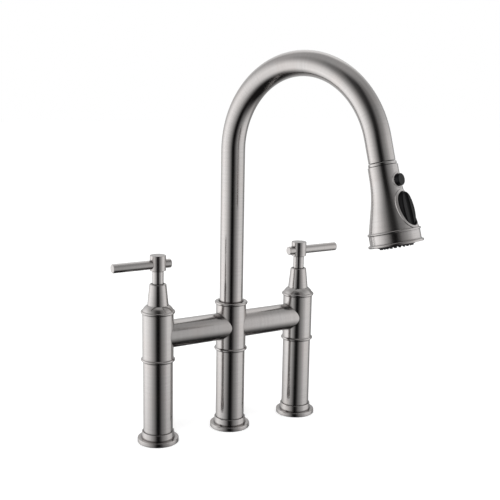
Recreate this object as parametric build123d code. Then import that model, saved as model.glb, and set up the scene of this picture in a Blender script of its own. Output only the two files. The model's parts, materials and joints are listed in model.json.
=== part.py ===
from build123d import *
import os
from math import atan2, cos, degrees, pi, radians, sin, sqrt, tan

# Bridge kitchen faucet with a pull-down spray head.
# Millimetres. Z up from the worktop, X along the bridge, the user stands at -Y.
# The origin is on the worktop under the middle of the centre post.

# Overall layout
post_pitch = 101.6
bridge_z = 132.5
spout_turn = 17.0

# Clearances, and how far a cut runs past what it cuts
past = 1.0
seat_gap = 0.05
running_gap = 0.06
free_gap = 0.35
button_gap = 0.3
dock_gap = 0.8
rocker_gap = 0.8
core_gap = 0.3

# Base flange and its gasket
flange_r = 25.0
flange_side_h = 4.6
flange_h = 5.6
flange_shoulder = 1.2
collar_r = 20.0
collar_top_r = 19.6
collar_z = 13.6
collar_round = 0.7
edge = 0.4
gasket_proud = 0.4
gasket_t = 1.6
gasket_lip = 1.5
gasket_margin = 1.6

# Legs and their threaded feet
leg_r = 17.85
leg_wall = 2.0
leg_top_z = 101.7
foot_h = 14.0
shank_thread_r = 12.06

# Bodies on the legs
body_r = 18.7
body_top_z = 160.2
spigot_h = 8.0
bead_r = 20.6
bead_h = 3.2
bead_cove = 1.4
bead_lip = 1.2
cavity_r = 14.0
cavity_z = 116.0
port_r = 10.5
inlet_r = 4.5

# Bridge tubes
bridge_r = 16.8
bridge_wall = 2.0

# Side valve: bonnet
bonnet_spigot_h = 11.0
bonnet_spigot_wall = 1.9
ring_r = 20.6
ring_h = 3.4
dome_foot_r = 18.9
dome_top_r = 13.2
dome_h = 6.6
dome_bulge = 0.4
cone_foot_r = 12.75
cone_top_r = 10.15
cone_h = 25.6
cone_lip = 1.3
cone_wall = 2.5

# Side valve: cartridge
seal_t = 1.5
disc_r = 8.0
disc_t = 3.5
disc_hole_r = 2.0
disc_hole_at = 4.6
cartridge_r = 12.0
cartridge_chamber_h = 16.0
cartridge_barrel_h = 22.0
cartridge_neck_r = 9.0
cartridge_neck_h = 13.0
window_r = 2.6
spindle_r = 4.0
tongue_h = 3.0
tongue_w = 4.4
nut_h = 7.0
nut_slot_w = 3.0

# Handles
stem_r = 6.8
stem_foot_z = 158.0
stem_top_z = 211.8
hub_r = 9.55
hub_h = 18.3
hub_round = 0.4
socket_top_z = 207.2
lever_r = 5.3
lever_z = 219.2
lever_arm = 58.2
lever_stub = 16.3
lever_edge = 0.4
set_screw_r = 2.0
set_screw_z = 202.0
set_screw_recess = 0.3
set_screw_hex = 0.95

# Centre post
centre_web_z = 145.0
centre_web_t = 4.0
socket_r = 16.3
outlet_r = 3.2
outlet_offset = 11.8

# Spout
tube_r = 14.45
tube_wall = 1.5
arch_r = 104.0
arch_z = 349.6
arch_sweep = 165.5
spout_straight = 25.9
spout_flange_r = 16.0
spout_flange_h = 2.2
washer_t = 0.8
washer_w = 3.0
pivot_r = 11.2
pivot_top_z = 202.0
bush_h = 8.0
bush_low_z = 154.0
o_ring_r = 1.1
o_ring_low_z = 172.0
o_ring_step = 8.0

# Pull-down hose
hose_r = 6.0
hose_room = 0.8
hose_guide_wall = 1.0
hose_tail_r = 6.5
hose_tail_h = 15.0
hose_tail_z = 1.0
hose_tail_step = 0.8
hose_tail_edge = 1.0
hose_tail_groove = 1.8
ferrule_r = 7.2
ferrule_h = 12.0
ferrule_low = 4.5
shank_r = 4.2
hose_flange_r = 5.6
hose_flange_h = 2.6
hose_bore_r = 3.0

# Docking sleeve and magnet in the spout's end
sleeve_wall = 2.4
sleeve_h = 19.5
magnet_h = 5.0
magnet_bore_r = 8.6

# Spray head, measured down its own axis from the joint with the spout
head_collar_r = 15.2
head_collar_h = 4.1
neck_h = 14.0
neck_wall = 1.75
shell_top = 4.4
shell_bottom = 73.5
shell_wall = 1.6
shell_neck_r = 16.1
shell_neck_end_r = 16.3
shell_neck_end = 16.0
shell_bend_r = 17.3
shell_bend = 31.2
shell_flare_r = 20.1
shell_flare = 46.5
shell_foot_r = 26.9
frame_proud = 0.7
frame_w = 2.4
button_frame_proud = 0.3
button_frame_w = 1.8

# Lower band with its lip
band_h = 15.5
band_step = 0.5
band_bead_out = 1.1
band_bead_h = 2.6
band_taper = 0.2
band_wall = 1.8
lip_out = 2.0
lip_flare_h = 2.4
lip_edge = 0.9
face_r = 20.3
lip_t = 1.6

# Hose nut and water core
nut_r = 8.0
nut_top = 3.5
inlet_spigot_r = 6.2
inlet_spigot_top = 6.5
core_bore_r = 5.0
core_inlet_r = 2.6
face_recess = 6.0
core_foot_h = 6.0

# Push button
button_at = 21.7
button_r = 6.45
button_out = 20.4
button_root = 13.6
button_edge = 0.8
button_travel = 2.0
plunger_r = 3.0
plunger_h = 5.6
spring_r = 4.3
spring_wire = 0.25
spring_turns = 4
spring_h = 4.6
spring_well_r = 5.6

# Rocker: an egg-shaped pad, its outline given along the head's axis
rocker_top = 34.9
rocker_shoulder = 40.0
rocker_shoulder_w = 7.8
rocker_middle = 54.0
rocker_middle_w = 10.5
rocker_hip = 64.5
rocker_hip_w = 9.2
rocker_bottom = 70.9
rocker_root = 15.4
rocker_out_top = 21.5
rocker_out_middle = 23.7
rocker_out_bottom = 24.6
rocker_edge = 1.3
channel_r = 4.0
channel_depth = 2.2
rocker_angle = 3.0
pivot_at = 52.0
pivot_out = 11.3
pin_r = 1.25
lug_r = 2.8
lug_half = 6.0
finger_tip = 3.1
finger_t = 3.0
pocket_floor = 14.0

# Diverter spool
spool_r = 2.0
spool_land_r = 4.93
spool_land_t = 2.4
spool_half = 11.0
spool_room = 3.0
spool_slot_gap = 0.35

# Spray face, nozzle mat and aerator
spray_face_out = 1.2
spray_face_t = 4.2
nub_out = 2.9
nub_r = 1.15
nub_tip_r = 0.85
nub_jet_r = 0.4
nub_gap = 0.1
mat_t = 1.5
mat_margin = 0.6
nub_outer_at = 17.2
nub_outer_count = 24
nub_inner_at = 12.6
nub_inner_count = 16
aerator_r = 8.4
aerator_out = 0.6
aerator_wall = 1.2
aerator_screen_t = 1.4
aerator_hole_r = 0.8
aerator_pitch = 2.1

# Worked out from the values above
leg_inner_r = leg_r - leg_wall
flange_bore_r = leg_r + seat_gap
spigot_r = leg_inner_r - seat_gap
spigot_z = leg_top_z - spigot_h
bead_top_z = leg_top_z + bead_h
dome_foot_z = body_top_z + ring_h
cone_foot_z = dome_foot_z + dome_h
cone_top_z = cone_foot_z + cone_h
bonnet_bore_r = cavity_r - seat_gap - bonnet_spigot_wall
bonnet_spigot_z = body_top_z - bonnet_spigot_h
stem_bore_r = cone_top_r - cone_wall
disc_z = cavity_z + seal_t
moving_disc_z = disc_z + disc_t
tongue_z = moving_disc_z + disc_t
shaft_z = tongue_z + tongue_h
chamber_r = disc_r + 2 * seat_gap
moving_disc_r = chamber_r - free_gap
cartridge_shoulder_z = disc_z + cartridge_barrel_h
hub_top_z = stem_top_z + hub_h
tube_bore_r = tube_r - tube_wall
web_top_z = centre_web_z + centre_web_t
spout_foot_z = web_top_z + washer_t
spout_flange_top_z = spout_foot_z + spout_flange_h
skirt_z = spout_flange_top_z + washer_t
guide_bore_r = hose_r + hose_room
guide_r = guide_bore_r + hose_guide_wall
collar_bore_r = tube_r + free_gap
sleeve_r = tube_bore_r - seat_gap
dock_r = sleeve_r - sleeve_wall
neck_r = dock_r - free_gap
neck_bore_r = neck_r - neck_wall
nut_bore_r = shank_r + free_gap
band_top_r = shell_foot_r + band_step
band_bead_r = band_top_r + band_bead_out
band_foot_r = band_top_r + band_taper
lip_r = band_foot_r + lip_out
band_bottom = shell_bottom + band_h
core_foot = band_bottom - face_recess
hose_shoulder = inlet_spigot_top - hose_flange_h
core_top = button_at - button_r - button_gap - free_gap
core_waist_r = shell_flare_r - shell_wall - core_gap
pin_half = sqrt(core_waist_r**2 - (pivot_out + pin_r) ** 2)
post_places = {"left": -post_pitch, "centre": 0.0, "right": post_pitch}
side_signs = {"left": -1, "right": 1}
lower = (Align.CENTER, Align.CENTER, Align.MIN)
outwards = (Align.MIN, Align.CENTER, Align.CENTER)
head_lean = 180.0 - arch_sweep


def rod(radius, low, high):
    """An upright cylinder between two heights."""
    return Pos(0, 0, low) * Cylinder(radius, high - low, align=lower)


def ring(radius, bore, low, high):
    """An upright tube between two heights."""
    return rod(radius, low, high) - rod(bore, low - past, high + past)


def rod_x(radius, start, end, height):
    """A cylinder along X at a height."""
    return Pos(start, 0, height) * Rot(0, 90, 0) * Cylinder(radius, end - start, align=lower)


def rod_y(radius, start, end, height):
    """A cylinder along Y at a height."""
    return Pos(0, start, height) * Rot(-90, 0, 0) * Cylinder(radius, end - start, align=lower)


def turned(start, *steps):
    """A solid turned about Z. A step is (radius, height), or (middle, end) for an arc."""
    edges = []
    here = start
    for step in steps:
        if isinstance(step[0], tuple):
            middle, end = step
            edges.append(ThreePointArc(on_xz(here), on_xz(middle), on_xz(end)))
        else:
            end = step
            if end != here:
                edges.append(Line(on_xz(here), on_xz(end)))
        here = end
    edges.append(Line(on_xz(here), on_xz(start)))
    return revolve(make_face(edges), axis=Axis.Z)


def on_xz(point):
    return (point[0], 0, point[1])


def rounded(start, corner, end):
    """The arc step that rounds a corner, its middle pulled towards the corner."""
    pull = sqrt(0.5)
    middle_r = start[0] + end[0] - corner[0]
    middle_z = start[1] + end[1] - corner[1]
    middle = (
        middle_r + (corner[0] - middle_r) * pull,
        middle_z + (corner[1] - middle_z) * pull,
    )
    return (middle, end)


def base_flange():
    """Rim with a rounded shoulder and a collar that hugs the leg; the gasket lies in a groove below."""
    shoulder_r = flange_r - flange_shoulder
    body = turned(
        (flange_bore_r, gasket_proud),
        (flange_r - edge, gasket_proud),
        (flange_r, gasket_proud + edge),
        (flange_r, flange_side_h),
        rounded((flange_r, flange_side_h), (flange_r, flange_h), (shoulder_r, flange_h)),
        (collar_r, flange_h),
        (collar_top_r, collar_z - collar_round),
        rounded(
            (collar_top_r, collar_z - collar_round),
            (collar_top_r, collar_z),
            (collar_top_r - collar_round, collar_z),
        ),
        (flange_bore_r, collar_z),
    )
    return body - ring(gasket_outer_r() + seat_gap, gasket_inner_r() - seat_gap, 0, gasket_t)


def gasket_outer_r():
    return flange_r - gasket_margin


def gasket_inner_r():
    return flange_bore_r + gasket_lip


def base_gasket():
    return ring(gasket_outer_r(), gasket_inner_r(), 0, gasket_t)


def leg():
    return turned(
        (leg_inner_r, gasket_proud),
        (leg_r, gasket_proud),
        (leg_r, leg_top_z - edge),
        (leg_r - edge, leg_top_z),
        (leg_inner_r, leg_top_z),
    )


def leg_foot():
    """Threaded ring in the leg's bottom, where the mounting shank screws in."""
    return ring(leg_inner_r - seat_gap, shank_thread_r, gasket_proud, gasket_proud + foot_h)


def body_blank(bore_r, top_bore_r, top_bore_z):
    """Outside of a body: spigot into the leg, bead, straight barrel, with a stepped bore from the top."""
    bead_mid_z = leg_top_z + bead_h / 2
    bead_edge_r = bead_r - bead_lip
    return turned(
        (0, spigot_z),
        (spigot_r, spigot_z),
        (spigot_r, leg_top_z),
        (bead_edge_r, leg_top_z),
        ((bead_r, bead_mid_z), (bead_edge_r, bead_top_z)),
        rounded(
            (bead_edge_r, bead_top_z),
            (body_r, bead_top_z),
            (body_r, bead_top_z + bead_cove),
        ),
        (body_r, body_top_z),
        (top_bore_r, body_top_z),
        (top_bore_r, top_bore_z),
        (bore_r, top_bore_z),
        (bore_r, cavity_z),
        (0, cavity_z),
    )


def side_port(sign):
    """Bore from a body's cavity towards one side, into the bridge tube."""
    reach = sign * (body_r + past)
    return rod_x(port_r, min(0, reach), max(0, reach), bridge_z)


def valve_body(sign):
    """Side body: water comes up from the inlet thread and leaves towards the bridge."""
    blank = body_blank(cavity_r, cavity_r, body_top_z - bonnet_spigot_h)
    return blank - rod(inlet_r, spigot_z - past, cavity_z + past) - side_port(-sign)


def centre_body():
    """Mixing chamber below a web, and a socket for the spout's foot above it."""
    blank = body_blank(cavity_r, socket_r, web_top_z)
    web = rod(cavity_r + seat_gap, centre_web_z, web_top_z)
    blank = blank + web - side_port(-1) - side_port(1)
    blank = blank - rod(guide_r + seat_gap, spigot_z - past, web_top_z + past)
    outlet = Pos(0, outlet_offset, 0) * rod(outlet_r, spigot_z - past, cavity_z + past)
    return blank - outlet


def bridge_tube(sign):
    """Tube between the centre body and a side body, its ends cut to their barrels."""
    ends = sorted((0, sign * post_pitch))
    tube = rod_x(bridge_r, ends[0], ends[1], bridge_z)
    tube = tube - rod_x(bridge_r - bridge_wall, ends[0] - past, ends[1] + past, bridge_z)
    for end in ends:
        barrel = rod(body_r + seat_gap, spigot_z, body_top_z)
        tube = tube - Pos(end, 0, 0) * barrel
    return tube


def bonnet():
    """Ring, dome and cone over the cartridge, screwed into the body's top."""
    ring_mid_z = body_top_z + ring_h / 2
    ring_edge_r = ring_r - bead_lip
    dome_chord_r = (dome_foot_r + dome_top_r) / 2
    dome_mid_z = dome_foot_z + dome_h / 2
    spigot_outer_r = cavity_r - seat_gap
    return turned(
        (bonnet_bore_r, bonnet_spigot_z),
        (spigot_outer_r, bonnet_spigot_z),
        (spigot_outer_r, body_top_z),
        (ring_edge_r, body_top_z),
        ((ring_r, ring_mid_z), (ring_edge_r, dome_foot_z)),
        (dome_foot_r, dome_foot_z),
        ((dome_chord_r + dome_bulge, dome_mid_z + dome_bulge), (dome_top_r, cone_foot_z)),
        (cone_foot_r, cone_foot_z),
        (cone_top_r, cone_top_z - cone_lip),
        rounded(
            (cone_top_r, cone_top_z - cone_lip),
            (cone_top_r, cone_top_z),
            (cone_top_r - cone_lip, cone_top_z),
        ),
        (stem_bore_r, cone_top_z),
        (stem_bore_r, cone_foot_z),
        (bonnet_bore_r, dome_foot_z),
    )


def cartridge_seal():
    return ring(disc_r + seal_t, inlet_r + seat_gap, cavity_z, disc_z)


def disc_holes(angle, low, high):
    """The two flow holes of a ceramic disc."""
    hole = rod(disc_hole_r, low - past, high + past)
    return [Rot(0, 0, angle + turn) * Pos(disc_hole_at, 0, 0) * hole for turn in (0, 180)]


def fixed_disc():
    return rod(disc_r, disc_z, moving_disc_z) - disc_holes(0, disc_z, moving_disc_z)


def moving_disc():
    """Its holes stand across the fixed disc's while the valve is shut."""
    return rod(moving_disc_r, moving_disc_z, tongue_z) - disc_holes(90, moving_disc_z, tongue_z)


def cartridge_housing():
    """Barrel round the discs, with windows above them and a neck that guides the spindle."""
    chamber_top_z = disc_z + cartridge_chamber_h
    neck_top_z = cartridge_shoulder_z + cartridge_neck_h
    body = turned(
        (chamber_r, disc_z),
        (cartridge_r, disc_z),
        (cartridge_r, cartridge_shoulder_z),
        (cartridge_neck_r, cartridge_shoulder_z),
        (cartridge_neck_r, neck_top_z),
        (spindle_r + running_gap, neck_top_z),
        (spindle_r + running_gap, chamber_top_z),
        (chamber_r, chamber_top_z),
    )
    window_z = chamber_top_z - window_r - edge
    return body - rod_x(window_r, -cartridge_r - past, cartridge_r + past, window_z)


def cartridge_nut():
    """Slotted ring that screws down on the cartridge's shoulder."""
    top_z = cartridge_shoulder_z + nut_h
    body = ring(cavity_r - seat_gap, cartridge_neck_r + seat_gap, cartridge_shoulder_z, top_z)
    slot = Pos(0, 0, top_z) * Box(2 * cavity_r, nut_slot_w, nut_slot_w)
    return body - slot


def spindle():
    """Shaft from the moving disc's tongue up into the handle."""
    tongue_half = moving_disc_r - seat_gap
    tongue = Pos(0, 0, tongue_z) * Box(2 * tongue_half, tongue_w, tongue_h, align=lower)
    return tongue + rod(spindle_r, shaft_z, socket_top_z)


def handle_hub():
    """Stem and hub in one piece, bored for the spindle, the lever rod and the grub screw."""
    blank = turned(
        (spindle_r + seat_gap, stem_foot_z),
        (stem_r, stem_foot_z),
        (stem_r, stem_top_z),
        (hub_r - edge, stem_top_z),
        (hub_r, stem_top_z + edge),
        (hub_r, hub_top_z - hub_round),
        rounded(
            (hub_r, hub_top_z - hub_round),
            (hub_r, hub_top_z),
            (hub_r - hub_round, hub_top_z),
        ),
        (0, hub_top_z),
        (0, socket_top_z + seat_gap),
        (spindle_r + seat_gap, socket_top_z + seat_gap),
    )
    lever_bore = rod_x(lever_r + seat_gap, -hub_r - past, hub_r + past, lever_z)
    screw_bore = rod_y(set_screw_r + seat_gap, 0, stem_r + past, set_screw_z)
    return blank - lever_bore - screw_bore


def lever_rod(sign):
    """Round rod through the hub: long arm outwards, short stub towards the spout."""
    ends = sorted((sign * lever_arm, -sign * lever_stub))
    blank = rod_x(lever_r, ends[0], ends[1], lever_z)
    return chamfer(blank.edges(), lever_edge)


def set_screw():
    """Grub screw with a hexagon socket, in the back of the stem."""
    inner = spindle_r + seat_gap
    outer = stem_r - set_screw_recess
    socket = Pos(0, outer, set_screw_z) * Rot(-90, 0, 0) * extrude(
        RegularPolygon(set_screw_hex, 6), amount=set_screw_hex, both=True
    )
    return rod_y(set_screw_r, inner, outer, set_screw_z) - socket


def spout_pivot():
    """Tube that guides the hose through the centre body, widened above the web to carry the spout."""
    body = turned(
        (guide_bore_r, spigot_z),
        (guide_r, spigot_z),
        (guide_r, web_top_z),
        (pivot_r, web_top_z),
        (pivot_r, pivot_top_z),
        (guide_bore_r, pivot_top_z),
    )
    for height in o_ring_heights():
        groove_r = o_ring_track_r() - o_ring_r - seat_gap
        half = o_ring_r + seat_gap
        body = body - ring(pivot_r + past, groove_r, height - half, height + half)
    return body


def o_ring_track_r():
    return tube_bore_r - running_gap - o_ring_r


def o_ring_heights():
    return (o_ring_low_z, o_ring_low_z + o_ring_step)


def spout_o_rings():
    track_r = o_ring_track_r()
    return [Pos(0, 0, height) * Torus(track_r, o_ring_r) for height in o_ring_heights()]


def spout_bushes():
    """Plain bearings on the pivot at its foot and its top, which the spout turns on."""
    lows = (bush_low_z, pivot_top_z - bush_h)
    radius = tube_bore_r - running_gap
    return [ring(radius, pivot_r + seat_gap, low, low + bush_h) for low in lows]


def glide_washers():
    """Thin washers under and over the flange at the spout's foot."""
    outer = socket_r - free_gap
    lows = (web_top_z, spout_flange_top_z)
    inners = (outer - washer_w, tube_r + free_gap)
    return [ring(outer, inner, low, low + washer_t) for low, inner in zip(lows, inners)]


def spout_collar():
    """Ring on the centre body, its skirt screwed into the socket over the spout's flange."""
    skirt_r = socket_r - seat_gap
    ring_mid_z = body_top_z + ring_h / 2
    ring_edge_r = ring_r - bead_lip
    ring_top_z = body_top_z + ring_h
    return turned(
        (collar_bore_r, skirt_z),
        (skirt_r, skirt_z),
        (skirt_r, body_top_z),
        (ring_edge_r, body_top_z),
        ((ring_r, ring_mid_z), (ring_edge_r, ring_top_z)),
        (collar_bore_r + bead_lip, ring_top_z),
        (collar_bore_r, ring_top_z - bead_lip),
    )


def spout_route(low):
    """Centre line of the spout from a height on the riser to the arch's end."""
    riser = Line((0, 0, low), (0, 0, arch_z))
    half = radians(arch_sweep / 2)
    full = radians(arch_sweep)
    arch = ThreePointArc(
        (0, 0, arch_z),
        (0, arch_r * (cos(half) - 1), arch_z + arch_r * sin(half)),
        (0, arch_r * (cos(full) - 1), arch_z + arch_r * sin(full)),
    )
    return riser, arch


def head_place():
    """Frame of the spray head: Z down its axis from the joint, X towards its front."""
    full = radians(arch_sweep)
    lean = radians(head_lean)
    down = (0, -sin(lean), -cos(lean))
    joint = (
        0,
        arch_r * (cos(full) - 1) + spout_straight * down[1],
        arch_z + arch_r * sin(full) + spout_straight * down[2],
    )
    frame = Plane(origin=joint, x_dir=(0, -cos(lean), sin(lean)), z_dir=down)
    return Rot(0, 0, spout_turn) * frame.location


def spout_tube():
    riser, arch = spout_route(spout_foot_z)
    tail = Line(arch @ 1, (arch @ 1) + (arch % 1) * spout_straight)
    start = Plane((0, 0, spout_foot_z))
    outer = sweep(start * Circle(tube_r), path=Wire([riser, arch, tail]))
    bore = sweep(start * Circle(tube_bore_r), path=Wire([riser, arch, tail]))
    foot = rod(spout_flange_r, spout_foot_z, spout_flange_top_z)
    return Rot(0, 0, spout_turn) * (outer + foot - bore)


def pull_hose():
    """The hose where the faucet holds it: up the centre leg, through the pivot and round the arch."""
    low = hose_tail_z + hose_tail_h
    riser, arch = spout_route(low)
    hose = sweep(Plane((0, 0, low)) * Circle(hose_r), path=Wire([riser, arch]))
    length = arch_z - low + arch_r * radians(arch_sweep)
    print("hose length", round(length), "volume share", round(hose.volume / (length * pi * hose_r**2), 4))
    return Rot(0, 0, spout_turn) * hose


def hose_tail():
    """Tail fitting on the hose's lower end, with a groove for its clip."""
    groove_z = hose_tail_z + hose_tail_h / 3
    return turned(
        (hose_bore_r, hose_tail_z),
        (hose_tail_r - hose_tail_step - hose_tail_edge, hose_tail_z),
        (hose_tail_r - hose_tail_step, hose_tail_z + hose_tail_edge),
        (hose_tail_r - hose_tail_step, groove_z),
        (hose_tail_r - hose_tail_groove, groove_z),
        (hose_tail_r - hose_tail_groove, groove_z + hose_tail_groove),
        (hose_tail_r, groove_z + hose_tail_groove),
        (hose_tail_r, hose_tail_z + hose_tail_h),
        (hose_bore_r, hose_tail_z + hose_tail_h),
    )


def dock_sleeve():
    return ring(sleeve_r, dock_r, -sleeve_h, 0)


def dock_magnet():
    return ring(sleeve_r, magnet_bore_r, -sleeve_h - magnet_h, -sleeve_h)


def hose_stretch():
    """Short run of hose between the arch and the ferrule, which comes out with the head."""
    return rod(hose_r, -spout_straight, -ferrule_low - ferrule_h)


def hose_ferrule():
    """Crimped ferrule, its shank and the flange that the hose nut holds."""
    top = -ferrule_low - ferrule_h
    return turned(
        (hose_bore_r, top),
        (ferrule_r - edge, top),
        (ferrule_r, top + edge),
        (ferrule_r, -ferrule_low),
        (shank_r, -ferrule_low),
        (shank_r, hose_shoulder),
        (hose_flange_r, hose_shoulder),
        (hose_flange_r, inlet_spigot_top),
        (hose_bore_r, inlet_spigot_top),
    )


def hose_nut():
    """Nut on the water core's inlet that lets the hose's flange turn inside it."""
    skirt_bore_r = inlet_spigot_r + seat_gap
    bottom = core_top - seat_gap
    return turned(
        (nut_bore_r, -nut_top),
        (nut_r, -nut_top),
        (nut_r, bottom),
        (skirt_bore_r, bottom),
        (skirt_bore_r, hose_shoulder),
        (nut_bore_r, hose_shoulder),
    )


def head_neck():
    """Plastic plug that docks in the spout, with a flange under the head's collar."""
    flange_outer_r = shell_neck_r - shell_wall - seat_gap
    flange_top = head_collar_h
    return turned(
        (neck_bore_r, -neck_h),
        (neck_r - 2 * edge, -neck_h),
        (neck_r, -neck_h + 2 * edge),
        (neck_r, flange_top),
        (flange_outer_r, flange_top),
        (flange_outer_r, core_top),
        (neck_bore_r, core_top),
    )


def head_collar():
    """Thin metal ring between the spout's end and the shell."""
    return turned(
        (neck_r + seat_gap, dock_gap),
        (head_collar_r - edge, dock_gap),
        (head_collar_r, dock_gap + edge),
        (head_collar_r, head_collar_h - edge),
        (head_collar_r - edge, head_collar_h),
        (neck_r + seat_gap, head_collar_h),
    )


def head_form(grow, top, bottom):
    """Solid form of the flared shell, grown or shrunk all round, between two stations."""
    foot_r = shell_foot_r + grow
    blank = turned(
        (0, shell_top),
        (shell_neck_r + grow, shell_top),
        (shell_neck_end_r + grow, shell_neck_end),
        ((shell_bend_r + grow, shell_bend), (shell_flare_r + grow, shell_flare)),
        (foot_r, shell_bottom),
        (0, shell_bottom),
    )
    return blank & rod(2 * shell_foot_r, top, bottom)


def rocker_outline(grow):
    """The egg outline on the plane across the head's front, extruded outwards."""
    top = rocker_top - grow
    bottom = rocker_bottom + grow
    shoulder_w = rocker_shoulder_w + grow
    hip_w = rocker_hip_w + grow
    middle_w = rocker_middle_w + grow
    edges = [
        ThreePointArc((rocker_shoulder, -shoulder_w), (top, 0), (rocker_shoulder, shoulder_w)),
        ThreePointArc(
            (rocker_shoulder, shoulder_w), (rocker_middle, middle_w), (rocker_hip, hip_w)
        ),
        ThreePointArc((rocker_hip, hip_w), (bottom, 0), (rocker_hip, -hip_w)),
        ThreePointArc(
            (rocker_hip, -hip_w), (rocker_middle, -middle_w), (rocker_shoulder, -shoulder_w)
        ),
    ]
    return make_face(edges)


def rocker_column(grow, start, end):
    """The egg outline as a column from one distance in front of the head's axis to another."""
    plane = Plane(origin=(start, 0, 0), x_dir=(0, 0, 1), z_dir=(1, 0, 0))
    return extrude(plane * rocker_outline(grow), amount=end - start)


def head_shell():
    """Flared shell with a raised frame round the rocker and another round the button."""
    far = 2 * shell_foot_r
    rocker_frame = rocker_column(rocker_gap + frame_w, 0, far)
    button_frame = rod_x(button_r + button_gap + button_frame_w, 0, far, button_at)
    skin = head_form(0, shell_top, shell_bottom)
    skin = skin + (head_form(frame_proud, shell_top, shell_bottom) & rocker_frame)
    skin = skin + (head_form(button_frame_proud, shell_top, shell_bottom) & button_frame)
    skin = skin - head_form(-shell_wall, shell_top - past, shell_bottom + past)
    skin = skin - rod_x(button_r + button_gap, 0, far, button_at)
    return skin - rocker_column(rocker_gap, 0, far)


def water_core():
    """Plastic body inside the shell: inlet, diverter bore, pockets for the button and the rocker."""
    far = 2 * shell_foot_r
    foot_r = band_top_r - band_wall - seat_gap
    core = head_form(-shell_wall - core_gap, core_top, shell_bottom)
    core = core + rod(inlet_spigot_r, inlet_spigot_top, core_top + past)
    core = core + rod(face_r - seat_gap, shell_bottom - past, core_foot)
    core = core + rod(foot_r, core_foot - core_foot_h, core_foot)
    core = core - rod(core_inlet_r, inlet_spigot_top - past, pivot_at)
    core = core - rod(core_bore_r, pivot_at - spool_half - spool_room, core_foot + past)
    core = core - button_pocket(far) - rocker_pocket(far)
    pin_bore = Pos(pivot_out, 0, 0) * rod_y(pin_r + seat_gap, -far, far, pivot_at)
    return core - pin_bore


def button_pocket(far):
    """Room for the cap's travel, the spring and the plunger."""
    cap_floor = button_root - button_travel - button_gap
    well_floor = button_root - spring_h - button_travel - free_gap
    plunger_floor = button_root - plunger_h - button_travel - free_gap
    pocket = rod_x(button_r + button_gap, cap_floor, far, button_at)
    pocket = pocket + rod_x(spring_well_r, well_floor, far, button_at)
    return pocket + rod_x(plunger_r + button_gap, plunger_floor, far, button_at)


def rocker_pocket(far):
    """Room behind the rocker for its tilt, for its lug and for the finger that moves the spool."""
    tilt = radians(rocker_angle)
    slot_half = finger_t / 2 + (pivot_out - core_bore_r + past) * tan(tilt) + free_gap
    pocket = rocker_column(rocker_gap, pocket_floor, far)
    lug_half_room = lug_r + free_gap
    lug_floor = Pos(pivot_out - lug_half_room, 0, pivot_at)
    lug_slot = lug_floor * Box(far, 2 * (lug_half + free_gap), 2 * lug_half_room, align=outwards)
    slot = Pos(0, 0, pivot_at) * Box(far, finger_t + 2 * free_gap, 2 * slot_half, align=outwards)
    return pocket + lug_slot + slot


def lower_band():
    """Bead, straight band and flared lip below the shell, turned in under the spray face."""
    top = shell_bottom
    bead_bottom = top + band_bead_h
    flare_top = band_bottom - lip_flare_h
    lip_top = band_bottom - lip_edge
    bead_edge_r = band_bead_r - band_bead_h / 2
    flare_mid = ((band_foot_r + lip_r) / 2 - lip_edge / 3, (flare_top + lip_top) / 2)
    inner_r = band_top_r - band_wall
    return turned(
        (inner_r, top),
        (bead_edge_r, top),
        ((band_bead_r, top + band_bead_h / 2), (band_top_r, bead_bottom)),
        (band_foot_r, flare_top),
        (flare_mid, (lip_r, lip_top)),
        (lip_r, band_bottom - edge),
        (lip_r - edge, band_bottom),
        (face_r + seat_gap, band_bottom),
        (face_r + seat_gap, band_bottom - lip_t),
        (inner_r, band_bottom - lip_t - lip_edge),
    )


def push_button():
    """Cap that stands out of the shell, with a short plunger behind it."""
    cap = rod_x(button_r, button_root, button_out, button_at)
    cap = fillet(cap.edges().sort_by(Axis.X)[-1], button_edge)
    return cap + rod_x(plunger_r, button_root - plunger_h, button_root, button_at)


def button_spring():
    """Return spring round the plunger, wound from one wire."""
    pitch = (spring_h - spring_wire * 2) / spring_turns
    wire = Helix(pitch=pitch, height=spring_h - spring_wire * 2, radius=spring_r)
    section = Plane(origin=wire @ 0, z_dir=wire % 0) * Circle(spring_wire)
    coil = sweep(section, path=wire, is_frenet=True)
    start = button_root - spring_h + spring_wire
    print("spring gap", round(pitch - spring_wire * 2, 2))
    return Pos(start, 0, button_at) * Rot(0, 90, 0) * coil


def rocker():
    """Pad with a crowned face, a lug round the pin and a finger between the spool's lands."""
    pad = rocker_column(0, rocker_root, 2 * rocker_out_bottom)
    top = rocker_top - past
    bottom = rocker_bottom + past
    root = rocker_root - past
    side = make_face(
        [
            Line((root, 0, top), (rocker_out_top, 0, top)),
            ThreePointArc(
                (rocker_out_top, 0, top),
                (rocker_out_middle, 0, (top + bottom) / 2),
                (rocker_out_bottom, 0, bottom),
            ),
            Line((rocker_out_bottom, 0, bottom), (root, 0, bottom)),
            Line((root, 0, bottom), (root, 0, top)),
        ]
    )
    pad = pad & extrude(side, amount=2 * rocker_middle_w, both=True)
    pad = fillet(pad.faces().sort_by(Axis.X)[-1].edges(), rocker_edge) - rocker_channel()
    lug = Pos(pivot_out, 0, 0) * rod_y(lug_r, -lug_half, lug_half, pivot_at)
    web_h = rocker_root - pivot_out + past
    web = Pos(pivot_out, 0, pivot_at) * Box(web_h, 2 * lug_half, 2 * lug_r, align=outwards)
    finger_h = pivot_out - finger_tip
    finger = Pos(finger_tip, 0, pivot_at) * Box(finger_h, finger_t, finger_t, align=outwards)
    pin_hole = rod_y(pin_r + running_gap, -lug_half - past, lug_half + past, pivot_at)
    return pad + lug + web + finger - Pos(pivot_out, 0, 0) * pin_hole


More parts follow.
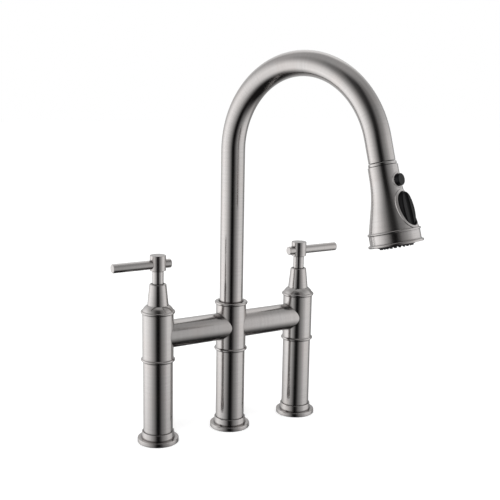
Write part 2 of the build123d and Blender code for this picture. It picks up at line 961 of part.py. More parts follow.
def rocker_channel():
    """Cylinder that cuts the shallow finger channel down the middle of the pad."""
    length = rocker_bottom - rocker_top
    slope = degrees(atan2(rocker_out_bottom - rocker_out_top, length))
    middle = Pos(rocker_out_middle, 0, (rocker_top + rocker_bottom) / 2)
    cut = Cylinder(channel_r, length + 2 * rocker_out_bottom)
    return middle * Rot(0, slope, 0) * Pos(channel_r - channel_depth, 0, 0) * cut


def rocker_pin():
    return Pos(pivot_out, 0, 0) * rod_y(pin_r, -pin_half, pin_half, pivot_at)


def diverter_spool():
    """Spool with two lands that the rocker's finger sits between."""
    spool = rod(spool_r, pivot_at - spool_half, pivot_at + spool_half)
    start = finger_t / 2 + spool_slot_gap
    for low in (pivot_at - start - spool_land_t, pivot_at + start):
        spool = spool + rod(spool_land_r, low, low + spool_land_t)
    return spool


def nub_places():
    places = []
    for circle_r, count in ((nub_outer_at, nub_outer_count), (nub_inner_at, nub_inner_count)):
        for turn in range(count):
            angle = radians(360 * turn / count)
            places.append((circle_r * cos(angle), circle_r * sin(angle)))
    return places


def spray_face():
    """Black face plate with a hole for each nub and for the aerator."""
    bottom = band_bottom + spray_face_out
    plate = turned(
        (aerator_r + seat_gap, bottom - spray_face_t),
        (face_r, bottom - spray_face_t),
        (face_r, bottom - edge),
        (face_r - edge, bottom),
        (aerator_r + seat_gap, bottom),
    )
    hole = rod(nub_r + nub_gap, bottom - spray_face_t - past, bottom + past)
    return plate - [Pos(x, y, 0) * hole for x, y in nub_places()]


def nozzle_mat():
    """Rubber mat behind the face plate, with a pierced nub through each hole."""
    bottom = band_bottom + spray_face_out
    root = bottom - spray_face_t
    tip = band_bottom + nub_out
    mat = ring(face_r - mat_margin, aerator_r + seat_gap, root - mat_t, root)
    nub = turned(
        (nub_jet_r, root - mat_t),
        (nub_r, root - mat_t),
        (nub_r, bottom),
        (nub_tip_r, tip),
        (nub_jet_r, tip),
    )
    jet = rod(nub_jet_r, root - mat_t - past, tip + past)
    mat = mat + [Pos(x, y, 0) * nub for x, y in nub_places()]
    return mat - [Pos(x, y, 0) * jet for x, y in nub_places()]


def aerator():
    """Housing ring with a pierced flow screen in its mouth."""
    bottom = band_bottom + aerator_out
    housing = ring(aerator_r, aerator_r - aerator_wall, core_foot + seat_gap, bottom)
    screen = rod(aerator_r - aerator_wall, bottom - 2 * aerator_screen_t, bottom - aerator_screen_t)
    hole = rod(aerator_hole_r, core_foot, bottom + past)
    reach = aerator_r - aerator_wall - aerator_hole_r - edge
    steps = range(-4, 5)
    row_h = aerator_pitch * sqrt(0.75)
    for row in steps:
        for column in steps:
            x = aerator_pitch * (column + row / 2)
            y = row_h * row
            if sqrt(x * x + y * y) < reach:
                screen = screen - Pos(x, y, 0) * hole
    return housing + screen


def save(name, shape):
    if isinstance(shape, list):
        shape = Compound(children=[solid for piece in shape for solid in piece.solids()])
    export_step(shape, "parts/" + name + ".step")


def post_nodes():
    """Pieces that all three posts share."""
    for name, x in post_places.items():
        place = Pos(x, 0, 0)
        save(name + "_base_flange", place * base_flange())
        save(name + "_leg", place * leg())
        save(name + "_leg_foot", place * leg_foot())
    save("base_gaskets", [Pos(x, 0, 0) * base_gasket() for x in post_places.values()])


def side_nodes():
    """Valve, bonnet and handle of each side post."""
    places = {name: Pos(sign * post_pitch, 0, 0) for name, sign in side_signs.items()}
    for name, sign in side_signs.items():
        place = places[name]
        save(name + "_valve_body", place * valve_body(sign))
        save(name + "_bridge_tube", bridge_tube(sign))
        save(name + "_bonnet", place * bonnet())
        save(name + "_cartridge_housing", place * cartridge_housing())
        save(name + "_fixed_disc", place * fixed_disc())
        save(name + "_moving_disc", place * moving_disc())
        save(name + "_spindle", place * spindle())
        save(name + "_handle_hub", place * handle_hub())
        save(name + "_lever_rod", place * lever_rod(sign))
        save(name + "_set_screw", place * set_screw())
    save("cartridge_seals", [place * cartridge_seal() for place in places.values()])
    save("cartridge_nuts", [place * cartridge_nut() for place in places.values()])


def centre_nodes():
    """Centre body, spout bearing, spout and hose."""
    save("centre_body", centre_body())
    save("spout_pivot", spout_pivot())
    save("spout_bushes", spout_bushes())
    save("spout_o_rings", spout_o_rings())
    save("glide_washers", glide_washers())
    save("spout_collar", spout_collar())
    save("spout_tube", spout_tube())
    save("pull_hose", pull_hose())
    save("hose_tail", hose_tail())


def head_nodes():
    """Everything that is placed on the spray head's own axis."""
    pieces = {
        "dock_sleeve": dock_sleeve,
        "dock_magnet": dock_magnet,
        "hose_stretch": hose_stretch,
        "hose_ferrule": hose_ferrule,
        "hose_nut": hose_nut,
        "head_neck": head_neck,
        "head_collar": head_collar,
        "head_shell": head_shell,
        "water_core": water_core,
        "lower_band": lower_band,
        "push_button": push_button,
        "button_spring": button_spring,
        "rocker": rocker,
        "rocker_pin": rocker_pin,
        "diverter_spool": diverter_spool,
        "spray_face": spray_face,
        "nozzle_mat": nozzle_mat,
        "aerator": aerator,
    }
    for name, make in pieces.items():
        save(name, head_place() * make())


os.makedirs("parts", exist_ok=True)
post_nodes()
side_nodes()
centre_nodes()
head_nodes()
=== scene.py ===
import math

import bpy
import numpy as np
from mathutils import Matrix, Vector
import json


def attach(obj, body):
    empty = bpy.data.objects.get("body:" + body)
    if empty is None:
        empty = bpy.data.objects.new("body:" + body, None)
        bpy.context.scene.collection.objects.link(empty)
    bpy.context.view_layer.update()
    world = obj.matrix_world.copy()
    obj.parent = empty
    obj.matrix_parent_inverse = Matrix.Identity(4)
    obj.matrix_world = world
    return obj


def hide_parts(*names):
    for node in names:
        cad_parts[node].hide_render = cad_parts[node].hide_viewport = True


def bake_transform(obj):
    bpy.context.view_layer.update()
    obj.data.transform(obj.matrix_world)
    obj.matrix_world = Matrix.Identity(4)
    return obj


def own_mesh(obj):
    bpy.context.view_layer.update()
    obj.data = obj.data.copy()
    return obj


# Bridge kitchen faucet with a pull-down spray head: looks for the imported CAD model.
# Metres. Z up from the worktop, X along the bridge, the user stands at -Y.

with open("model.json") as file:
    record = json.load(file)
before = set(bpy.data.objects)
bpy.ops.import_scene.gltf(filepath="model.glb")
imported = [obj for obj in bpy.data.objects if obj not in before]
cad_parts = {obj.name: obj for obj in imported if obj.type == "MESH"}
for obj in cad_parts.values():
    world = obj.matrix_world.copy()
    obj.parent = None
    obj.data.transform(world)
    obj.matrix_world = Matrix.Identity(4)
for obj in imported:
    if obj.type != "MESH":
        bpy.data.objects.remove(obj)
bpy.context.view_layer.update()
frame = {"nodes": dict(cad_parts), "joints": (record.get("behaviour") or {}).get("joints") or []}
cad = frame["nodes"]
scene = bpy.context.scene
full_turn = 2.0 * math.pi
upwards = Vector((0.0, 0.0, 1.0))

# Camera, its lens in millimetres: the photograph's viewpoint, left of the front and a little above
camera_place = (-0.576168, -0.942866, 0.432020)
camera_azimuth = math.radians(32.59)
camera_tilt = math.radians(10.463)
camera_roll = math.radians(0.979)
focal_length = 65.588
film_width = 36.0

# The spray head's axis, from its joint with the spout downwards, and the ways round it
joints = {joint["name"]: joint for joint in frame["joints"]}
head_joint = Vector(joints["head_turn"]["pos_m"])
head_down = Vector(joints["head_turn"]["axis"])
head_front = -Vector(joints["button_press"]["axis"])
head_side = Vector(joints["rocker_tilt"]["axis"])
pull_length = joints["spray_head_pull"]["range_m"][1]

# The spout: a riser, an arch in an upright plane through the centre post, a straight end
arch_turn = math.radians(17.0)
arch_out = Vector((math.sin(arch_turn), -math.cos(arch_turn), 0.0))
arch_across = Vector((math.cos(arch_turn), math.sin(arch_turn), 0.0))
arch_z = 0.3496
arch_r = 0.104
arch_sweep = math.pi - math.acos(-head_down.z)
past_arch = head_joint.dot(arch_out) - arch_r * (1.0 - math.cos(arch_sweep))
spout_straight = past_arch / math.sin(arch_sweep)

# The spray hose, its route measured from the worktop up the riser, and its braid
hose_r = 0.006
hose_foot_z = 0.016
hose_split_z = 0.345
ferrule_top = 0.0165
arch_end = arch_z + arch_r * arch_sweep
braid_carriers = 12
braid_pitch = 0.086
braid_relief = 0.00032
braid_weave = 0.38

# Brushed gunmetal
gunmetal = (0.502, 0.4845, 0.477)
groove_colour = (0.16, 0.15, 0.145)
groove_pitch = 0.00035
groove_depth = 0.0000025

# Noise scales: grooves and streaks have two across the axis and one along it, scuffs X, Y and Z
groove_scales = (24.0, 24.0, 1.0 / groove_pitch)
streak_scales = (9.0, 9.0, 420.0)
scuff_scales = (90.0, 900.0, 300.0)

# Studio
lamp_aim = (0.0, -0.05, 0.2)
lamp_size = 1.6
ball_middle = (0.0, 0.0, 0.2)
ball_r = 1.05


def place_camera():
    lens = bpy.data.cameras.new("camera")
    lens.lens = focal_length
    lens.sensor_width = film_width
    lens.clip_start = 0.05
    lens.clip_end = 20.0
    camera = bpy.data.objects.new("camera", lens)
    scene.collection.objects.link(camera)
    turn = (
        Matrix.Rotation(-camera_azimuth, 4, "Z")
        @ Matrix.Rotation(math.pi / 2.0 - camera_tilt, 4, "X")
        @ Matrix.Rotation(camera_roll, 4, "Z")
    )
    camera.matrix_world = Matrix.Translation(camera_place) @ turn
    scene.camera = camera


place_camera()
scene.view_settings.view_transform = "Standard"


# Colours

def grey(level):
    return (level, level, level, 1.0)


def rgba(value):
    """A colour for a socket: three numbers get their alpha."""
    if isinstance(value, tuple) and len(value) == 3:
        return (*value, 1.0)
    return value


def scaled(colour, *factors):
    """A colour times one number, or times one number for each channel."""
    if len(factors) == 1:
        factors = factors * 3
    return tuple(part * factor for part, factor in zip(colour, factors))


def paler(colour, factor, dust):
    """A colour times a factor, with a little grey dust on it."""
    return tuple(min(1.0, part * factor + dust) for part in colour)


# Node trees

class Graph:
    """Adds and links the nodes of one tree; a value is a number, a colour or a socket."""

    def __init__(self, tree):
        self.tree = tree
        self.tree.nodes.clear()

    def put(self, socket, value):
        if isinstance(value, bpy.types.NodeSocket):
            self.tree.links.new(value, socket)
        else:
            socket.default_value = value

    def node(self, kind, inputs=None, **settings):
        made = self.tree.nodes.new(kind)
        for key, value in settings.items():
            setattr(made, key, value)
        for key, value in (inputs or {}).items():
            self.put(made.inputs[key], value)
        return made

    def maths(self, operation, *values):
        return self.node("ShaderNodeMath", dict(enumerate(values)), operation=operation).outputs[0]

    def times(self, value, factor):
        return self.maths("MULTIPLY", value, factor)

    def length(self, first, second):
        squares = self.maths("ADD", self.times(first, first), self.times(second, second))
        return self.maths("SQRT", squares)

    def vector_maths(self, operation, vector, other):
        inputs = {0: vector, 1: tuple(other)}
        return self.node("ShaderNodeVectorMath", inputs, operation=operation).outputs

    def dot(self, vector, direction):
        return self.vector_maths("DOT_PRODUCT", vector, direction)["Value"]

    def away(self, vector, origin):
        return self.vector_maths("SUBTRACT", vector, origin)["Vector"]

    def place(self):
        """The point on the surface, in the frame the part was drawn in."""
        return self.node("ShaderNodeTexCoord").outputs["Object"]

    def split(self, vector):
        return tuple(self.node("ShaderNodeSeparateXYZ", {0: vector}).outputs)

    def join(self, x, y, z):
        return self.node("ShaderNodeCombineXYZ", {0: x, 1: y, 2: z}).outputs[0]

    def noise(self, vector, scale, detail, rough):
        inputs = {"Vector": vector, "Scale": scale, "Detail": detail, "Roughness": rough}
        return self.node("ShaderNodeTexNoise", inputs).outputs[0]

    def drawn_noise(self, coordinates, scales, detail, rough):
        """Noise with a scale of its own along each of three coordinates."""
        parts = [self.times(part, scale) for part, scale in zip(coordinates, scales)]
        return self.noise(self.join(*parts), 1.0, detail, rough)

    def span(self, value, given, wanted=(0.0, 1.0)):
        """Eases from one range to another, and stays level past its ends."""
        inputs = dict(enumerate((value, *given, *wanted)))
        return self.node("ShaderNodeMapRange", inputs, interpolation_type="SMOOTHSTEP").outputs[0]

    def greys_round(self, turn, start, *stops):
        """Greys round a circle: turn goes from 0 to 1, and the start's grey stands at both."""
        made = self.node("ShaderNodeValToRGB", {0: turn})
        band = made.color_ramp
        band.interpolation = "EASE"
        for end in band.elements:
            end.color = grey(start)
        for position, level in stops:
            band.elements.new(position).color = grey(level)
        return made.outputs[0]

    def blended(self, factor, first, second, **settings):
        made = self.node("ShaderNodeMix", **settings)
        self.put(made.inputs["Factor"], factor)
        self.put(made.inputs["A"], first)
        self.put(made.inputs["B"], second)
        return made.outputs["Result"]

    def mix(self, factor, first, second):
        return self.blended(factor, rgba(first), rgba(second), data_type="RGBA")

    def choose(self, factor, first, second):
        return self.blended(factor, first, second, data_type="FLOAT")

    def darken(self, colour, tone):
        return self.blended(1.0, colour, tone, data_type="RGBA", blend_type="MULTIPLY")

    def bump(self, height, distance, strength):
        inputs = {"Height": height, "Distance": distance, "Strength": strength}
        return self.node("ShaderNodeBump", inputs).outputs[0]

    def painted_crevice_shade(self, reach, darkest):
        """Painted shade: grey that falls from 1 in the open to darkest in the joints between
        pieces, from ambient occlusion.
        """
        near = self.node("ShaderNodeAmbientOcclusion", {"Distance": reach}, samples=6)
        return self.span(near.outputs["AO"], (0.35, 0.95), (darkest, 1.0))

    def seen(self):
        """1 for rays from the camera, off metal and through glass, and 0 for the light itself."""
        path = self.node("ShaderNodeLightPath").outputs
        through = self.maths("MAXIMUM", path["Is Glossy Ray"], path["Is Transmission Ray"])
        return self.maths("MAXIMUM", path["Is Camera Ray"], through)

    def output(self, shader, kind="ShaderNodeOutputMaterial"):
        self.put(self.node(kind).inputs[0], shader.outputs[0])

    def surface(self, **sockets):
        """Ends the tree in a Principled shader; a name's underscores stand for spaces."""
        inputs = {key.replace("_", " "): value for key, value in sockets.items()}
        self.output(self.node("ShaderNodeBsdfPrincipled", inputs))


def material(name):
    made = bpy.data.materials.new(name)
    made.use_nodes = True
    return made, Graph(made.node_tree)


# Ways a piece was turned: each gives two coordinates across its axis and one along it

def turned_about_z(g):
    return g.split(g.place())


def turned_about_x(g):
    x, y, z = g.split(g.place())
    return y, z, x


def turned_about_head(g):
    here = g.away(g.place(), head_joint)
    return g.dot(here, head_side), g.dot(here, head_front), g.dot(here, head_down)


def turned_along_spout(g):
    """Height on the riser, then the length of arc round the arch."""
    here = g.place()
    height = g.maths("SUBTRACT", g.split(here)[2], arch_z)
    inwards = g.maths("SUBTRACT", arch_r, g.dot(here, arch_out))
    arc = g.times(g.maths("ARCTAN2", height, inwards), arch_r)
    past_riser = g.maths("MAXIMUM", height, g.times(inwards, -1.0))
    on_arch = g.maths("GREATER_THAN", past_riser, 0.0)
    along = g.choose(on_arch, height, arc)
    depth = g.choose(on_arch, inwards, g.length(height, inwards))
    return g.dot(here, arch_across), depth, along


# Materials

def brushed(name, turned, roughness=0.15):
    """Metal with fine lines round its axis, faint streaks, a little wear, and painted shade in the
    joints between pieces.
    """
    made, g = material(name)
    coordinates = turned(g)
    groove = g.drawn_noise(coordinates, groove_scales, detail=3.0, rough=0.65)
    streak = g.drawn_noise(coordinates, streak_scales, detail=4.0, rough=0.6)
    cloud = g.noise(g.place(), scale=38.0, detail=3.0, rough=0.55)
    dark, light = scaled(gunmetal, 0.97), scaled(gunmetal, 1.025)
    warm = scaled(gunmetal, 1.05, 0.99, 0.96)
    body = g.mix(g.span(streak, (0.3, 0.7)), dark, light)
    body = g.mix(g.span(cloud, (0.35, 0.75), (0.0, 0.35)), body, warm)
    body = g.mix(g.span(groove, (0.25, 0.75), (0.0, 0.06)), body, groove_colour)
    rough = g.maths(
        "ADD",
        g.span(groove, (0.25, 0.75), (roughness - 0.025, roughness + 0.03)),
        g.span(cloud, (0.35, 0.75), (-0.015, 0.02)),
    )
    g.surface(
        # Painted shade: the base colour is darkened by ambient occlusion in the joints between
        # pieces
        Base_Color=g.darken(body, g.painted_crevice_shade(reach=0.0028, darkest=0.3)),
        Metallic=1.0,
        Roughness=rough,
        Normal=g.bump(groove, groove_depth, strength=0.7),
    )
    return made


def machined(name, colour, roughness, turned, pitch):
    """Bare turned metal: tool marks at an even pitch, worn a little unevenly."""
    made, g = material(name)
    along = turned(g)[2]
    wave = g.maths("SINE", g.times(along, full_turn / pitch))
    smear = g.noise(g.place(), scale=260.0, detail=4.0, rough=0.6)
    marks = g.maths("ADD", g.times(wave, 0.5), smear)
    stain = g.span(smear, (0.35, 0.7), (0.0, 0.55))
    g.surface(
        Base_Color=g.mix(stain, colour, scaled(colour, 0.72)),
        Metallic=1.0,
        Roughness=g.span(marks, (-0.2, 1.2), (roughness - 0.06, roughness + 0.1)),
        Normal=g.bump(marks, 0.00001, strength=0.6),
    )
    return made


def moulded(name, colour, roughness, texture, depth, gloss=0.5, patchy=0.5):
    """Moulded plastic: the tool's fine texture, a slow change of shade, faint scuffs."""
    made, g = material(name)
    pebble = g.noise(g.place(), scale=1.0 / texture, detail=3.0, rough=0.6)
    slow = g.noise(g.place(), scale=45.0, detail=2.0, rough=0.5)
    scuff = g.drawn_noise(g.split(g.place()), scuff_scales, detail=4.0, rough=0.7)
    body = g.mix(g.span(slow, (0.3, 0.7), (0.0, patchy)), colour, paler(colour, 1.35, 0.002))
    worn = g.mix(g.span(scuff, (0.62, 0.82), (0.0, 0.22)), body, paler(colour, 1.6, 0.012))
    rough = g.maths(
        "ADD",
        g.span(pebble, (0.3, 0.7), (roughness - 0.03, roughness + 0.05)),
        g.span(scuff, (0.6, 0.8), (0.0, 0.08)),
    )
    g.surface(
        Base_Color=worn,
        Roughness=rough,
        Specular_IOR_Level=gloss,
        Normal=g.bump(pebble, depth, strength=0.6),
    )
    return made


def rubber(name, colour):
    """Silicone or rubber: matt, with a dusty bloom on it."""
    made, g = material(name)
    bloom = g.noise(g.place(), scale=150.0, detail=4.0, rough=0.6)
    grain = g.noise(g.place(), scale=2600.0, detail=2.0, rough=0.5)
    dust = g.span(bloom, (0.4, 0.72), (0.0, 0.7))
    g.surface(
        Base_Color=g.mix(dust, colour, paler(colour, 1.7, 0.012)),
        Roughness=g.span(grain, (0.3, 0.7), (0.52, 0.68)),
        Sheen_Weight=0.15,
        Sheen_Roughness=0.5,
        Normal=g.bump(grain, 0.00002, strength=0.5),
    )
    return made


def braid_finish(name):
    """Nylon yarn: fine threads in every strand, and painted shade darkening the valleys between
    strands.
    """
    made, g = material(name)
    thread = g.noise(g.place(), scale=3200.0, detail=3.0, rough=0.6)
    patch = g.noise(g.place(), scale=120.0, detail=3.0, rough=0.5)
    yarn = g.mix(g.span(thread, (0.3, 0.7)), (0.19, 0.19, 0.2), (0.42, 0.42, 0.44))
    yarn = g.mix(g.span(patch, (0.4, 0.7), (0.0, 0.3)), yarn, (0.3, 0.295, 0.29))
    g.surface(
        # Painted shade: the yarn colour is darkened by ambient occlusion in the valleys between
        # strands
        Base_Color=g.darken(yarn, g.painted_crevice_shade(reach=0.0008, darkest=0.35)),
        Roughness=g.span(thread, (0.3, 0.7), (0.42, 0.62)),
        Sheen_Weight=0.25,
        Sheen_Roughness=0.4,
        Normal=g.bump(thread, 0.00004, strength=0.8),
    )
    return made


# Finishes

black = (0.003, 0.003, 0.0034)
post_metal = brushed("post_metal", turned_about_z)
bar_metal = brushed("bar_metal", turned_about_x, roughness=0.19)
spout_metal = brushed("spout_metal", turned_along_spout)
head_metal = brushed("head_metal", turned_about_head, roughness=0.17)
brass = machined("turned_brass", (0.72, 0.55, 0.28), 0.28, turned_about_z, 0.0006)
head_steel = machined("spring_steel", (0.62, 0.62, 0.63), 0.25, turned_about_head, 0.0004)
screw_steel = machined("screw_steel", (0.45, 0.45, 0.46), 0.3, turned_about_z, 0.0004)
magnet_metal = machined("magnet_nickel", (0.32, 0.32, 0.33), 0.35, turned_about_head, 0.0005)
ceramic = moulded("ground_ceramic", (0.84, 0.83, 0.80), 0.22, 0.0006, 0.000008, patchy=0.25)
cartridge_plastic = moulded("cartridge_acetal", (0.66, 0.66, 0.64), 0.42, 0.0008, 0.00002)
white_plastic = moulded("white_acetal", (0.80, 0.80, 0.78), 0.42, 0.0008, 0.00002, patchy=0.25)
inner_plastic = moulded("inner_abs", (0.055, 0.055, 0.06), 0.42, 0.0007, 0.00003)
gloss_black = moulded("gloss_black_abs", black, 0.18, 0.0009, 0.000006, gloss=0.14)
satin_black = moulded("satin_black_abs", black, 0.28, 0.0006, 0.00001, gloss=0.1)
silicone = rubber("silicone", (0.022, 0.022, 0.023))
gasket_rubber = rubber("gasket_rubber", (0.045, 0.045, 0.045))
braid = braid_finish("nylon_braid")

finishes = {
    "base_flange": post_metal,
    "leg_foot": brass,
    "leg": post_metal,
    "base_gaskets": gasket_rubber,
    "valve_body": post_metal,
    "bridge_tube": bar_metal,
    "bonnet": post_metal,
    "cartridge_housing": cartridge_plastic,
    "fixed_disc": ceramic,
    "moving_disc": ceramic,
    "cartridge_seals": gasket_rubber,
    "cartridge_nuts": brass,
    "handle_hub": post_metal,
    "lever_rod": bar_metal,
    "set_screw": screw_steel,
    "spindle": post_metal,
    "centre_body": post_metal,
    "spout_pivot": brass,
    "spout_bushes": white_plastic,
    "spout_o_rings": gasket_rubber,
    "glide_washers": white_plastic,
    "spout_collar": post_metal,
    "spout_tube": spout_metal,
    "dock_sleeve": inner_plastic,
    "dock_magnet": magnet_metal,
    "pull_hose": braid,
    "hose_stretch": braid,
    "hose_ferrule": head_steel,
    "hose_tail": brass,
    "hose_nut": inner_plastic,
    "head_neck": inner_plastic,
    "head_collar": head_metal,
    "head_shell": head_metal,
    "water_core": inner_plastic,
    "lower_band": head_metal,
    "push_button": gloss_black,
    "button_spring": head_steel,
    "rocker": satin_black,
    "rocker_pin": head_steel,
    "diverter_spool": white_plastic,
    "spray_face": satin_black,
    "nozzle_mat": silicone,
    "aerator": satin_black,
}


def finish_of(name):
    """The finish of a CAD node: the one whose entry its name ends with."""
    return next(finish for ending, finish in finishes.items() if name.endswith(ending))


for name, piece in cad.items():
    piece.data.materials.clear()
    piece.data.materials.append(finish_of(name))


# Meshes from rings of points

def circle(count):
    return np.linspace(0.0, full_turn, count, endpoint=False)


def ring_of_points(centre, radius, angles, first, second):
    """Points round a centre, from the way called first towards the way called second."""
    outwards = np.outer(radius * np.cos(angles), first) + np.outer(radius * np.sin(angles), second)
    return centre + outwards


def quads(ring, following):
    """Faces between two rings, each given as its points' numbers."""
    return np.stack([ring, np.roll(ring, -1), np.roll(following, -1), following], axis=1)


def fan(ring, middle):
    """Faces from a ring to one point in its middle."""
    return [(*edge, middle) for edge in zip(ring, np.roll(ring, -1))]


def mesh_object(name, points, faces, finish):
    mesh = bpy.data.meshes.new(name)
    corners = [tuple(point) for point in points]
    outlines = [tuple(int(corner) for corner in face) for face in faces]
    mesh.from_pydata(corners, [], outlines, shade_flat=False)
    mesh.materials.append(finish)
    mesh.update()
    made = bpy.data.objects.new(name, mesh)
    scene.collection.objects.link(made)
    return made


# Spray hose: one braided tube, in three pieces; the piece in the arch rides with the spout

def hose_centre(along):
    """Point, and the two ways across, at a length along the hose's route from the worktop."""
    if along <= arch_z:
        return upwards * along, -arch_out, -arch_across
    turn = min((along - arch_z) / arch_r, arch_sweep)
    out = -arch_out * math.cos(turn) + upwards * math.sin(turn)
    onwards = arch_out * math.sin(turn) + upwards * math.cos(turn)
    point = arch_out * arch_r + upwards * arch_z + out * arch_r
    return point + onwards * max(0.0, along - arch_end), out, -arch_across


def strand_height(angles, over):
    """How high one winding's strands stand, 0 to 1; over is 1 where they lie on top, -1 below."""
    hump = np.sqrt(np.clip(np.cos(braid_carriers * angles) * 0.5 + 0.5, 0.0, 1.0))
    return hump * (1.0 - braid_weave * (1.0 - over))


def braided_tube(name, stations, laid, sides):
    """A tube round the route at the stations; laid is the braid's own length at each of them."""
    around = circle(sides)
    over = np.cos(braid_carriers * around)
    rings = []
    for along, braid_length in zip(stations, laid):
        twist = full_turn * braid_length / braid_pitch
        top = np.maximum(strand_height(around + twist, over), strand_height(around - twist, -over))
        radius = hose_r - braid_relief * (1.0 - top)
        centre, out, across = hose_centre(along)
        rings.append(ring_of_points(np.array(centre), radius, around, out, across))
    rows = np.arange(len(rings) * sides).reshape(-1, sides)
    faces = [face for low, high in zip(rows, rows[1:]) for face in quads(low, high)]
    foot, head = rows.size, rows.size + 1
    faces += fan(rows[0][::-1], foot) + fan(rows[-1], head)
    ends = [hose_centre(stations[0])[0], hose_centre(stations[-1])[0]]
    return mesh_object(name, np.concatenate([*rings, ends]), faces, braid)


def place_inner_hose():
    """The hose in the riser, baked in place, and the hose in the arch, which rides with the spout.
    """
    coarse_step = 0.002
    coarse_sides = 36
    riser_run = np.arange(hose_foot_z, hose_split_z, coarse_step)
    lower = braided_tube("hose_in_riser", riser_run, riser_run, coarse_sides)
    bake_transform(lower)
    arch_run = np.arange(hose_split_z - coarse_step, arch_end, coarse_step)
    arch_run = np.append(arch_run, arch_end)
    middle = braided_tube("hose_in_arch", arch_run, arch_run, coarse_sides)
    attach(middle, "spout")
    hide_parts("pull_hose")


def place_drawn_hose():
    """The stretch that comes out with the head, built at rest; its rings are spaced to stand
    evenly once drawn out by the full pull.
    """
    fine_rings = 520
    fine_sides = 96
    samples = 4001
    rest_length = spout_straight - ferrule_top
    share = np.linspace(0.0, 1.0, samples)
    eased = share * share * (3.0 - 2.0 * share)
    drawn = rest_length * share + pull_length * eased
    even = np.linspace(0.0, drawn[-1], fine_rings)
    at_rest = np.interp(even, drawn, share)
    outer = braided_tube("hose_drawn_out", arch_end + at_rest * rest_length, even, fine_sides)
    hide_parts("hose_stretch")
    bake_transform(outer)


# Trim of the spray head

def place_button_spring():
    """The button's spring once more, as a copy of its mesh that rides with the spray head."""
    coil = bpy.data.objects.new("button_spring_coil", cad["button_spring"].data.copy())
    scene.collection.objects.link(coil)
    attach(coil, "spray_head")
    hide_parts("button_spring")
    reach = [head_front.dot(vertex.co) for vertex in coil.data.vertices]
    foot = head_joint + head_front * (min(reach) - head_front.dot(head_joint))
    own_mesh(coil)


def place_lip_bead():
    """The rolled edge at the foot of the head's lower band."""
    roll_r = 0.0015
    proud = 0.0002
    axis = np.array(head_down)
    origin = np.array(head_joint)
    band = np.array([vertex.co for vertex in cad["lower_band"].data.vertices]) - origin
    down = band @ axis
    out = np.linalg.norm(band - np.outer(down, axis), axis=1)
    middle_r = out.max() - roll_r + proud
    foot = origin + axis * (down.max() - roll_r)
    around, section = circle(144), circle(16)
    rings = []
    for turn in around:
        spoke = np.array(head_front * math.cos(turn) + head_side * math.sin(turn))
        rings.append(ring_of_points(foot + spoke * middle_r, roll_r, section, spoke, axis))
    rows = np.arange(len(rings) * len(section)).reshape(-1, len(section))
    following = np.roll(rows, -1, axis=0)
    faces = [face for here, there in zip(rows, following) for face in quads(there, here)]
    bead = mesh_object("band_lip_bead", np.concatenate(rings), faces, head_metal)
    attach(bead, "spray_head")


place_inner_hose()
place_drawn_hose()
place_button_spring()
place_lip_bead()


# Stage: a pale floor, soft light, and a round of softboxes and flags that only reflections see

def studio_world():
    """A white surround that gives less light than it shows."""
    world = bpy.data.worlds.new("studio")
    scene.world = world
    world.use_nodes = True
    g = Graph(world.node_tree)
    ambient = 0.72
    strength = g.choose(g.seen(), ambient, 1.0)
    sky = g.node("ShaderNodeBackground", {"Color": grey(1.0), "Strength": strength})
    g.output(sky, "ShaderNodeOutputWorld")


def floor():
    """White paper that glows a little for the camera."""
    made, g = material("floor_paper")
    fibre = g.noise(g.place(), scale=900.0, detail=4.0, rough=0.6)
    glow = 0.42
    g.surface(
        Base_Color=g.mix(g.span(fibre, (0.3, 0.7)), grey(0.80), grey(0.84)),
        Roughness=0.9,
        Specular_IOR_Level=0.1,
        Emission_Color=grey(1.0),
        Emission_Strength=g.times(g.seen(), glow),
    )
    half = 8.0
    corners = [(-half, -half, 0), (half, -half, 0), (half, half, 0), (-half, half, 0)]
    sheet = mesh_object("floor", corners, [(0, 1, 2, 3)], made)
    sheet.visible_glossy = False


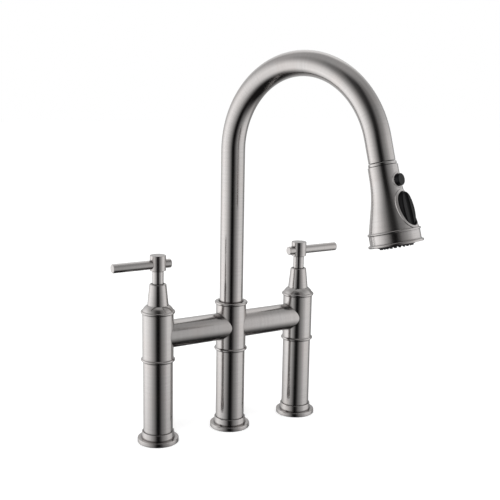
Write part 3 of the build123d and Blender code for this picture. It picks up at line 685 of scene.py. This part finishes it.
def panel_light():
    """Soft panels and dark flags by direction, as greys; half a turn is the camera's side."""
    made, g = material("studio_panels")
    here = g.place()
    x, y, z = g.split(here)
    forwards = Vector((-math.sin(camera_azimuth), -math.cos(camera_azimuth), 0.0))
    sideways = Vector((-forwards.y, forwards.x, 0.0))
    azimuth = g.maths("ARCTAN2", g.dot(here, sideways), g.dot(here, forwards))
    turn = g.maths("ADD", g.maths("DIVIDE", azimuth, full_turn), 0.5)
    level = g.greys_round(
        turn, 0.42,
        (0.08, 0.45), (0.125, 0.62), (0.16, 0.84), (0.2, 1.05), (0.245, 1.13), (0.28, 0.99),
        (0.32, 0.86), (0.355, 0.68), (0.4, 0.43), (0.43, 0.27), (0.455, 0.12), (0.48, 0.01),
        (0.52, 0.004), (0.548, 0.06), (0.583, 0.21), (0.62, 0.33), (0.66, 0.49), (0.71, 0.76),
        (0.76, 0.79), (0.81, 0.74), (0.86, 0.28), (0.92, 0.24),
    )
    high = g.greys_round(
        turn, 0.82,
        (0.08, 0.62), (0.14, 0.38), (0.2, 0.42), (0.3, 0.31), (0.38, 0.17), (0.45, 0.05),
        (0.52, 0.03), (0.61, 0.19), (0.71, 0.33), (0.8, 0.33), (0.85, 0.42), (0.92, 0.78),
    )
    ground, ceiling, brightness = 0.01, 0.36, 1.44
    rise = g.maths("DEGREES", g.maths("ARCTAN2", z, g.length(x, y)))
    walls = g.mix(g.span(rise, (5.0, 55.0)), level, high)
    walls = g.mix(g.span(rise, (-65.0, -15.0), (1.0, 0.0)), walls, grey(ground))
    whole = g.mix(g.span(rise, (57.0, 78.0)), walls, grey(ceiling))
    g.output(g.node("ShaderNodeEmission", {"Color": whole, "Strength": brightness}))
    return made


def studio_round():
    """A ball of panels round the set, which lights nothing and shows only in gloss."""
    bpy.ops.mesh.primitive_uv_sphere_add(
        segments=64, ring_count=32, radius=ball_r, location=ball_middle
    )
    ball = bpy.context.object
    ball.name = "studio_panels"
    ball.data.materials.append(panel_light())
    ball.visible_camera = False
    ball.visible_diffuse = False
    ball.visible_shadow = False
    ball.visible_transmission = False


def soft_lamp(name, place, power):
    lamp = bpy.data.lights.new(name, "AREA")
    lamp.shape = "DISK"
    lamp.size = lamp_size
    lamp.energy = power
    made = bpy.data.objects.new(name, lamp)
    scene.collection.objects.link(made)
    made.location = place
    made.rotation_mode = "QUATERNION"
    made.rotation_quaternion = (Vector(lamp_aim) - Vector(place)).to_track_quat("-Z", "Y")
    made.visible_glossy = False


studio_world()
floor()
studio_round()
soft_lamp("key", (-1.3, -1.1, 2.1), power=22.0)
soft_lamp("fill", (1.7, -0.9, 1.5), power=10.0)

bpy.context.view_layer.update()
